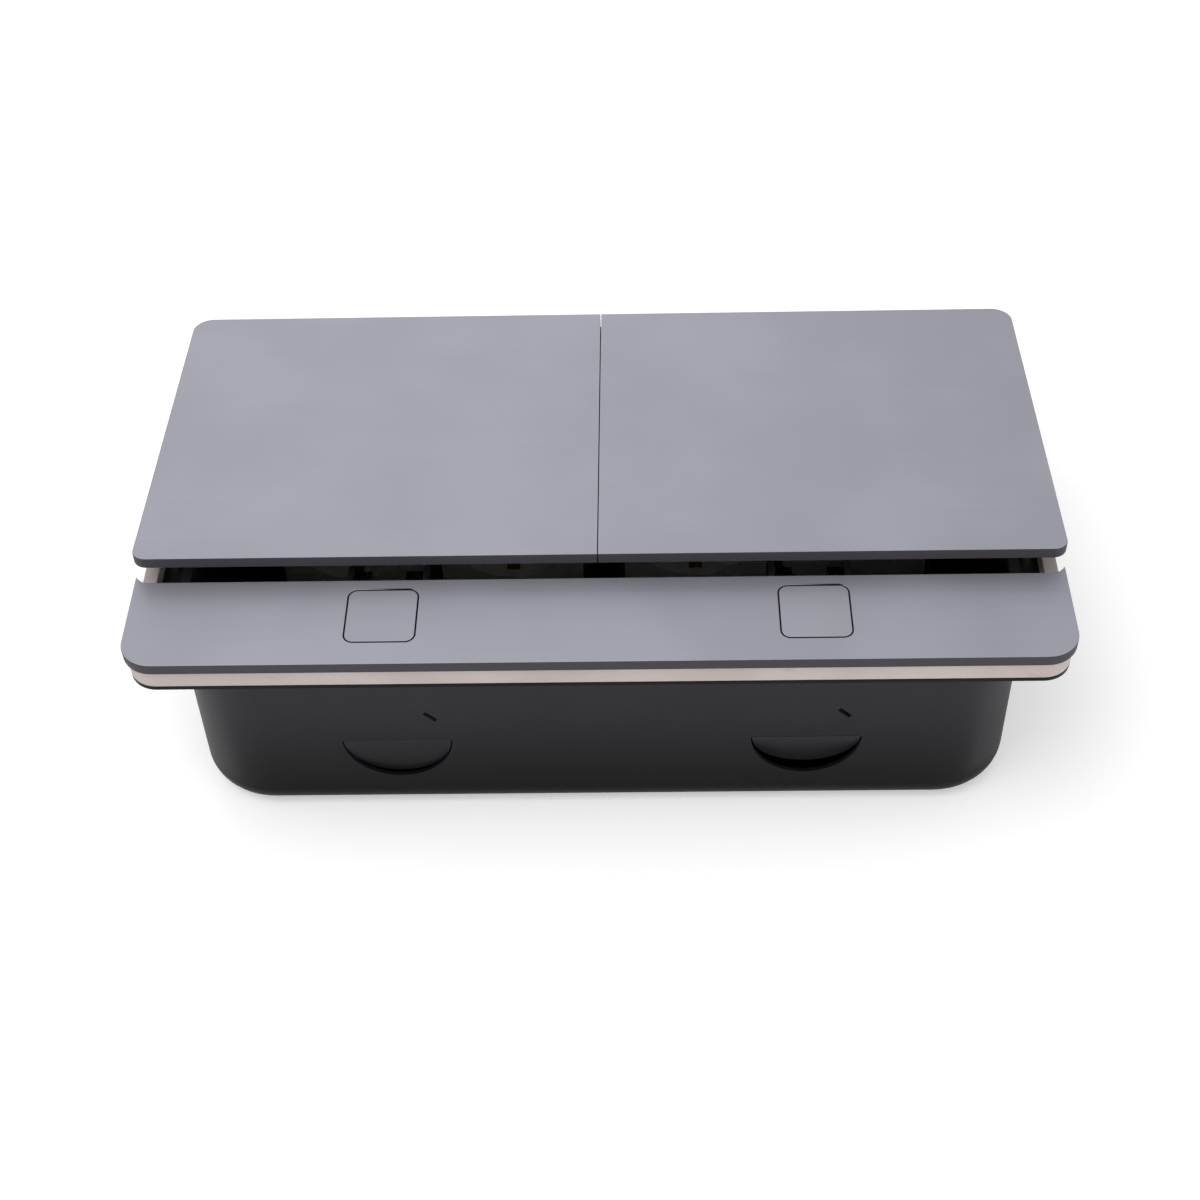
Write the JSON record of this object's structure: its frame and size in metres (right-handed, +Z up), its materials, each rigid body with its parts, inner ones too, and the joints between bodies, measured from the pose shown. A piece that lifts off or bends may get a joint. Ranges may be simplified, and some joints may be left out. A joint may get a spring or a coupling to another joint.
{
  "type": "floor outlet box",
  "caption": "Flush floor outlet box with hinged push-to-open lids over a steel box that holds power sockets and data jacks.",
  "frame": {"origin": "centre of the box's underside, under the middle of the cover plates", "axes": "+X along the cover's long side to the right, +Y from the button strip to the lid hinges, +Z up"},
  "size_m": [0.255, 0.146, 0.082],
  "materials": {
    "plate_metal": "satin brushed",
    "button_metal": "satin brushed",
    "frame_cream": "matt",
    "box_black": "semi-gloss",
    "seal_rubber": "matt",
    "housing_plastic": "moulded",
    "rocker_plastic": "moulded",
    "module_white": "moulded",
    "bracket_steel": "zinc plated",
    "pin_steel": "ground",
    "spring_steel": "drawn",
    "screw_steel": "zinc plated",
    "magnet": "nickel plated",
    "brass": "bright"
  },
  "bodies": {
    "box": {"box_body": "box_black", "base_frame": "frame_cream", "lid_seal": "seal_rubber", "front_strip": "plate_metal", "data_outlet": "module_white", "earth_terminal": "brass", "frame_screws": "screw_steel", "strip_screws": "screw_steel", "carrier_screws": "screw_steel", "left_hinge_pin": "pin_steel", "left_lid_spring": "spring_steel", "left_button_spring": "spring_steel", "left_latch_housing": "housing_plastic", "left_rocker_pin": "pin_steel", "left_carrier": "bracket_steel", "left_inner_socket": "module_white", "left_inner_clips": "brass", "right_hinge_pin": "pin_steel", "right_lid_spring": "spring_steel", "right_button_spring": "spring_steel", "right_latch_housing": "housing_plastic", "right_rocker_pin": "pin_steel", "right_carrier": "bracket_steel", "right_inner_socket": "module_white", "right_inner_clips": "brass", "left_outer_socket": "module_white", "left_outer_clips": "brass"},
    "left_lid": {"left_lid": "plate_metal", "left_keeper": "pin_steel"},
    "left_button": {"left_button": "button_metal"},
    "left_rocker": {"left_rocker": "rocker_plastic", "left_magnets": "magnet"},
    "right_lid": {"right_lid": "plate_metal", "right_keeper": "pin_steel"},
    "right_button": {"right_button": "button_metal"},
    "right_rocker": {"right_rocker": "rocker_plastic", "right_magnets": "magnet"}
  },
  "joints": [
    {"name": "left_lid_hinge", "type": "hinge", "parent": "box", "child": "left_lid", "pos_m": [-0.063, 0.0698, 0.0683], "axis": [-1, 0, 0], "range_deg": [-4.1, 85.9], "stiffness_Nm_per_rad": 0.35, "springref_deg": 8.48},
    {"name": "left_button_slide", "type": "slide", "parent": "box", "child": "left_button", "axis": [0, 0, 1], "range_m": [-0.0025, 0], "stiffness_N_per_m": 400, "springref_m": 0.0005, "deforming": ["left_button_spring"]},
    {"name": "left_rocker_tilt", "type": "hinge", "parent": "box", "child": "left_rocker", "pos_m": [-0.0584, -0.0355, 0.061], "axis": [1, 0, 0], "range_deg": [0, 7.2]},
    {"name": "right_lid_hinge", "type": "hinge", "parent": "box", "child": "right_lid", "pos_m": [0.063, 0.0698, 0.0683], "axis": [-1, 0, 0], "range_deg": [-4.1, 85.9], "stiffness_Nm_per_rad": 0.35, "springref_deg": 8.48},
    {"name": "right_button_slide", "type": "slide", "parent": "box", "child": "right_button", "axis": [0, 0, 1], "range_m": [-0.0025, 0], "stiffness_N_per_m": 400, "springref_m": 0.0005, "deforming": ["right_button_spring"]},
    {"name": "right_rocker_tilt", "type": "hinge", "parent": "box", "child": "right_rocker", "pos_m": [0.0584, -0.0355, 0.061], "axis": [1, 0, 0], "range_deg": [0, 7.2]}
  ],
  "couplings": [
    {"joint": "left_rocker_tilt", "follows": "left_button_slide", "rad_per_m": -49.75},
    {"joint": "right_rocker_tilt", "follows": "right_button_slide", "rad_per_m": -49.75}
  ]
}
